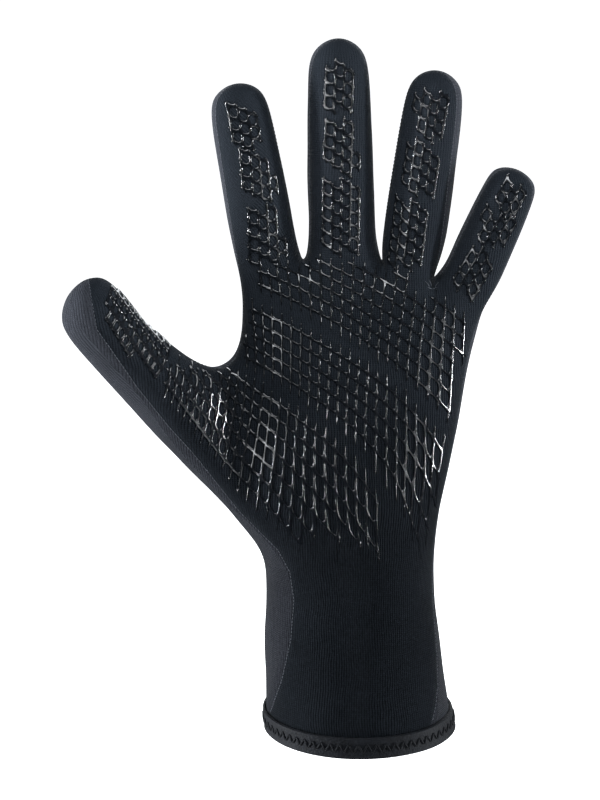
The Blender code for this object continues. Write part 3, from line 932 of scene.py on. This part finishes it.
class Finish:
    """A material in the making: a Principled shader and the nodes that feed it."""

    def __init__(self, name, **settings):
        self.material = bpy.data.materials.new(name)
        self.material.use_nodes = True
        self.tree = self.material.node_tree
        self.shader = self.tree.nodes["Principled BSDF"]
        for socket, value in settings.items():
            self.shader.inputs[socket.replace("_", " ")].default_value = value

    def add(self, kind, feeds, **settings):
        node = self.tree.nodes.new(kind)
        for key, value in settings.items():
            setattr(node, key, value)
        for socket, value in feeds.items():
            self.feed(node.inputs[socket], value)
        return node

    def feed(self, socket, value):
        if isinstance(value, bpy.types.NodeSocket):
            self.tree.links.new(value, socket)
        else:
            socket.default_value = value

    def maths(self, operation, one, two=0.0):
        return self.add("ShaderNodeMath", {0: one, 1: two}, operation=operation).outputs[0]

    def total(self, first, *others):
        """The sum of several values."""
        for other in others:
            first = self.maths("ADD", first, other)
        return first

    def spread(self, value, low, high):
        """A value from 0 to 1 as one from low to high."""
        feeds = {0: value, 1: high - low, 2: low}
        return self.add("ShaderNodeMath", feeds, operation="MULTIPLY_ADD").outputs[0]

    def place(self):
        """The point of the piece, in metres."""
        return self.add("ShaderNodeTexCoord", {}).outputs["Object"]

    def flat(self):
        """The knit's own U and V, in metres."""
        knit_map = self.add("ShaderNodeUVMap", {}, uv_map="knit").outputs[0]
        parts = self.add("ShaderNodeSeparateXYZ", {0: knit_map})
        return parts.outputs[0], parts.outputs[1]

    def coordinate(self, axis):
        """One of the three coordinates of the point."""
        return self.add("ShaderNodeSeparateXYZ", {0: self.place()}).outputs[axis]

    def noise(self, size, detail=2.0):
        """A noise from 0 to 1 whose blots are about a size in metres."""
        feeds = {"Vector": self.place(), "Scale": 1 / size, "Detail": detail}
        return self.add("ShaderNodeTexNoise", feeds).outputs[0]

    def ramp(self, value, start, end, low, high):
        """A value between start and end as one between low and high."""
        feeds = {0: value, 1: start, 2: end, 3: low, 4: high}
        return self.add("ShaderNodeMapRange", feeds).outputs[0]

    def colour(self, share, one, two):
        """A mix of two colours."""
        feeds = {0: share, 6: (*one, 1), 7: (*two, 1)}
        return self.add("ShaderNodeMix", feeds, data_type="RGBA").outputs[2]

    def put(self, socket, value):
        """Feeds one of the shader's own sockets."""
        self.feed(self.shader.inputs[socket], value)

    def paint(self, share, colours):
        """Gives the surface a mix of two colours."""
        self.put("Base Color", self.colour(share, *colours))

    def bump(self, height, depth):
        """Raises the surface by a height from 0 to 1 times a depth in metres."""
        node = self.add("ShaderNodeBump", {"Height": height, "Distance": depth})
        self.put("Normal", node.outputs[0])


RIB = 0.001  # from one rib of the knit to the next
RIB_DEPTH = 0.00026
STITCH = 0.00085  # from one stitch of a rib to the next
RIB_WANDER = 0.0012  # how far a rib wanders sideways
CHEVRON = 1.3  # how steep a stitch's two legs are
PAINTED_LIGHT_FROM, PAINTED_LIGHT_TO, PAINTED_LIGHT = 0.1, 0.26, 0.95  # painted light: the knit's colour grows lighter upwards between these heights, by this share, for the stronger light on the upper glove
COLOUR_BORDER = 0.0002  # half the width in which the palm's colour turns into the back's
# The knit's dark and light ends: their mix carries the ribs, the random tone and the painted light that
# grows upwards
PALM_COLOURS = ((0.0002, 0.0005, 0.0008), (0.0095, 0.0116, 0.0147))
BACK_COLOURS = ((0.0008, 0.0010, 0.0015), (0.0245, 0.0263, 0.0317))


def knit(name, sheen):
    """A fine rib knit: rounded ribs of small V stitches, a little fuzz, a slow change of colour and painted
    light that makes it lighter upwards.
    """
    finish = Finish(name, Sheen_Weight=sheen, Sheen_Roughness=0.22, Specular_IOR_Level=0.02)
    u, v = finish.flat()
    wander = finish.spread(finish.noise(0.014, 2.0), -RIB_WANDER, RIB_WANDER)
    turn = finish.maths("MULTIPLY", finish.total(u, wander), math.pi / RIB)
    round_rib = finish.maths("ABSOLUTE", finish.maths("SINE", turn))
    chevron = finish.maths("MULTIPLY", round_rib, CHEVRON)
    rise = finish.maths("MULTIPLY", v, 2 * math.pi / STITCH)
    stitch = finish.maths("SINE", finish.total(rise, chevron))
    fuzz = finish.noise(0.00025, 3.0)
    height = finish.total(
        finish.spread(round_rib, 0, 0.6), finish.spread(stitch, 0, 0.12), finish.spread(fuzz, 0, 0.35)
    )
    share = finish.total(
        finish.spread(height, -0.1, 0.6),
        finish.spread(finish.noise(0.03, 3.0), -0.15, 0.2),
        # painted light: lighter towards the fingers, darker towards the cuff, where less light falls
        finish.ramp(finish.coordinate(2), PAINTED_LIGHT_FROM, PAINTED_LIGHT_TO, 0.0, PAINTED_LIGHT),
        finish.spread(finish.noise(0.001), -0.3, 0.3),
    )
    side = finish.add("ShaderNodeAttribute", {}, attribute_name="side").outputs["Fac"]
    edge = finish.ramp(side, -COLOUR_BORDER, COLOUR_BORDER, 0.0, 1.0)
    feeds = {0: edge, 6: finish.colour(share, *PALM_COLOURS), 7: finish.colour(share, *BACK_COLOURS)}
    mixed = finish.add("ShaderNodeMix", feeds, data_type="RGBA")
    finish.put("Base Color", mixed.outputs[2])
    finish.put("Roughness", finish.spread(fuzz, 0.72, 0.95))
    finish.bump(height, RIB_DEPTH)
    return finish.material


LOOP_WIDE, LOOP_TALL, LOOP_DEPTH = 0.0009, 0.0007, 0.0001
LINING_COLOURS = ((0.012, 0.013, 0.015), (0.03, 0.031, 0.035))


def jersey(name):
    """The plain lining: a smooth fine jersey."""
    finish = Finish(name, Sheen_Weight=0.15, Specular_IOR_Level=0.2)
    u, v = finish.flat()
    across = finish.maths("SINE", finish.maths("MULTIPLY", u, 2 * math.pi / LOOP_WIDE))
    up = finish.maths("SINE", finish.maths("MULTIPLY", v, 2 * math.pi / LOOP_TALL))
    loops = finish.maths("MULTIPLY", across, up)
    fuzz = finish.noise(0.0004, 3.0)
    height = finish.total(finish.spread(loops, 0.3, 0.6), finish.spread(fuzz, 0, 0.4))
    finish.paint(height, LINING_COLOURS)
    finish.put("Roughness", finish.spread(fuzz, 0.75, 0.95))
    finish.bump(height, LOOP_DEPTH)
    return finish.material


RUBBER_DEPTH = 0.00003
RUBBER_COLOURS = ((0.0015, 0.0019, 0.0026), (0.009, 0.0105, 0.013))


def silicone(name):
    """The grip's rubber: black and glossy, with soft unevenness and a few dull specks from wear."""
    finish = Finish(name, Specular_IOR_Level=0.6)
    slow = finish.noise(0.0022, 2.0)
    speck = finish.noise(0.0005, 3.0)
    wear = finish.noise(0.02, 3.0)
    finish.paint(finish.maths("MULTIPLY", finish.spread(speck, 0.0, 0.6), wear), RUBBER_COLOURS)
    finish.put("Roughness", finish.total(finish.spread(speck, 0.04, 0.12), finish.spread(wear, 0.0, 0.06)))
    finish.bump(finish.total(slow, finish.spread(speck, 0, 0.3)), RUBBER_DEPTH)
    return finish.material


TAPE_DEPTH = 0.00035
TAPE_COLOURS = ((0.0010, 0.0013, 0.0020), (0.0075, 0.0090, 0.0125))


def tape(name):
    """The hem's tape, with a fine rough weave."""
    finish = Finish(name, Sheen_Weight=0.03, Specular_IOR_Level=0.08)
    weave = finish.noise(0.0008, 3.0)
    slow = finish.noise(0.01, 3.0)
    finish.paint(finish.total(finish.spread(weave, -0.5, 0.9), finish.spread(slow, -0.2, 0.3)), TAPE_COLOURS)
    finish.put("Roughness", finish.spread(weave, 0.5, 0.75))
    finish.bump(finish.total(weave, slow), TAPE_DEPTH)
    return finish.material


TWIST_DEPTH = 0.00008
DARK_THREAD = ((0.0008, 0.001, 0.0014), (0.005, 0.0058, 0.0075))
GREY_THREAD = ((0.015, 0.017, 0.021), (0.09, 0.097, 0.11))


def twisted(name, colours):
    """Sewing thread, with the light and dark of its twist."""
    finish = Finish(name, Sheen_Weight=0.02, Specular_IOR_Level=0.06)
    twist = finish.noise(0.0004, 2.0)
    finish.paint(twist, colours)
    finish.put("Roughness", finish.spread(twist, 0.45, 0.7))
    finish.bump(twist, TWIST_DEPTH)
    return finish.material


def build_skins(rank, levels, names, finishes, seamed):
    """The two panels' faces of a rank, sewn to each other, as fine meshes."""
    faces = [face_of("palm_panel", rank), face_of("back_panel", rank)]
    close_seam(*faces)
    made = []
    for bm, name, finish in zip(faces, names, finishes):
        lay_flat(bm)
        mesh = smoothed(bm, name, levels)
        bm.free()
        made.append((link(name, mesh, finish), mesh))
    if seamed:
        surfaces = [Surface(mesh) for _, mesh in made]
        drawn = drawn_seam(surfaces, LEFT_SEAM) + drawn_seam(surfaces, RIGHT_SEAM)
        for k, (_, mesh) in enumerate(made):
            mark_side(mesh, k == 1)
            rim = [point for loop in rim_loops(mesh) for point in loop]
            seam = [point for point in rim if point.z > SEAM_END and own_seam(point)]
            shape_skin(mesh, seam + drawn)
    return made


palm_finish = knit("palm_knit_fine", 0.035)
back_finish = knit("back_knit_fine", 0.07)
lining_finish = jersey("lining_jersey")
grip_finish = silicone("grip_silicone")
tape_finish = tape("hem_tape")
thread_finish = twisted("dark_thread", DARK_THREAD)
seam_finish = twisted("seam_thread_grey", GREY_THREAD)

(palm, palm_mesh), (back, back_mesh) = build_skins(
    0, FINE, ("palm_skin", "back_skin"), (palm_finish, back_finish), True
)
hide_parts("palm_panel")
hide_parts("back_panel")
for lining, _ in build_skins(1, LINING_FINE, ("palm_lining", "back_lining"), (lining_finish,) * 2, False):
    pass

palm_skin = Surface(palm_mesh)
palm_net(palm_skin, grip_finish)
for node in PADS:
    finger_net(palm_skin, node, grip_finish)
seam_thread([palm_skin, Surface(back_mesh)], seam_finish)

hem_mesh = smoothed(cad_mesh("cuff_hem"), "hem", HEM_FINE)
hem = link("hem", hem_mesh, tape_finish)
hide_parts("cuff_hem")
hem_thread(Surface(hem_mesh), thread_finish)

FLOOR_HEIGHT = -0.4
FLOOR_SIZE = 12.0
FLOOR_COLOUR = (0.85, 0.85, 0.86, 1)
# Between these two Y the floor's own light grows from the first strength to the second.
SHINE_DEPTHS, SHINE = (-0.6, 0.1), (0.4, 1.0)
HORIZON = 0.06  # the world turns from dark to light this far below to this far above the horizon
SKY_COLOUR = (0.84, 0.92, 1, 1)
SKY_BELOW, SKY_ABOVE = 0.012, 0.13
LIGHT_COLOUR = (0.93, 0.965, 1.0)
# Each light's place, its width and height, and its power.
LIGHTS = {
    "softbox_top": ((-0.05, -0.32, 0.62), (0.6, 0.25), 5.5),
    "strip_left": ((-1.1, -0.12, -0.02), (0.05, 0.6), 40),
    "strip_right": ((1.1, -0.16, -0.02), (0.05, 0.6), 25),
    "card_left": ((-0.70, -0.98, 0.1), (0.22, 0.22), 1.7),
    "card_right": ((0.62, -0.98, -0.12), (0.26, 0.42), 1.2),
    "softbox_back": ((0.2, 1.7, 0.9), (1.6, 1.2), 30),
}


def pale(name):
    """The pale floor, which shines white where it is the photograph's background."""
    finish = Finish(name, Roughness=0.9)
    finish.put("Base Color", FLOOR_COLOUR)
    shine = finish.ramp(finish.coordinate(1), *SHINE_DEPTHS, *SHINE)
    finish.put("Emission Color", (1, 1, 1, 1))
    finish.put("Emission Strength", shine)
    return finish.material


def add_floor():
    bm = bmesh.new()
    bmesh.ops.create_grid(bm, x_segments=1, y_segments=1, size=FLOOR_SIZE)
    mesh = mesh_of(bm, "floor")
    mesh.materials.append(pale("floor_white"))
    floor = new_object("floor", mesh)
    floor.location = (0, 0, FLOOR_HEIGHT)
    floor.visible_glossy = False


def aim(thing, place, way):
    """Puts a light or the camera at a place, looking along a way."""
    thing.location = place
    thing.rotation_mode = "QUATERNION"
    thing.rotation_quaternion = way.to_track_quat("-Z", "Y")


def add_light(name, place, size, power):
    """A softbox that faces the glove."""
    light = bpy.data.lights.new(name, "AREA")
    light.shape = "RECTANGLE"
    light.size, light.size_y = size
    light.energy = power
    light.color = LIGHT_COLOUR
    aim(new_object(name, light), place, CAMERA_TARGET - Vector(place))


def add_world():
    """A pale surrounding above the horizon and a dim one below it, where only the gloss sees it."""
    world = bpy.data.worlds.new("studio")
    world.use_nodes = True
    nodes, links = world.node_tree.nodes, world.node_tree.links
    height = nodes.new("ShaderNodeSeparateXYZ")
    links.new(nodes.new("ShaderNodeTexCoord").outputs["Generated"], height.inputs[0])
    ramp = nodes.new("ShaderNodeMapRange")
    for socket, value in ((1, -HORIZON), (2, HORIZON), (3, SKY_BELOW), (4, SKY_ABOVE)):
        ramp.inputs[socket].default_value = value
    links.new(height.outputs[2], ramp.inputs[0])
    links.new(ramp.outputs[0], nodes["Background"].inputs[1])
    nodes["Background"].inputs[0].default_value = SKY_COLOUR
    bpy.context.scene.world = world


SENSOR = 24  # the camera's sensor height, in millimetres


def add_camera():
    """The photograph's camera."""
    eye, _, _, back = camera_frame()
    camera = bpy.data.cameras.new("camera")
    camera.sensor_fit = "VERTICAL"
    camera.sensor_height = SENSOR
    camera.lens = SENSOR * FOCAL / IMAGE[1]
    thing = new_object("camera", camera)
    aim(thing, eye, -back)
    bpy.context.scene.camera = thing


bpy.context.scene.view_settings.view_transform = "Standard"
add_floor()
add_world()
for name, (place, size, power) in LIGHTS.items():
    add_light(name, place, size, power)
add_camera()
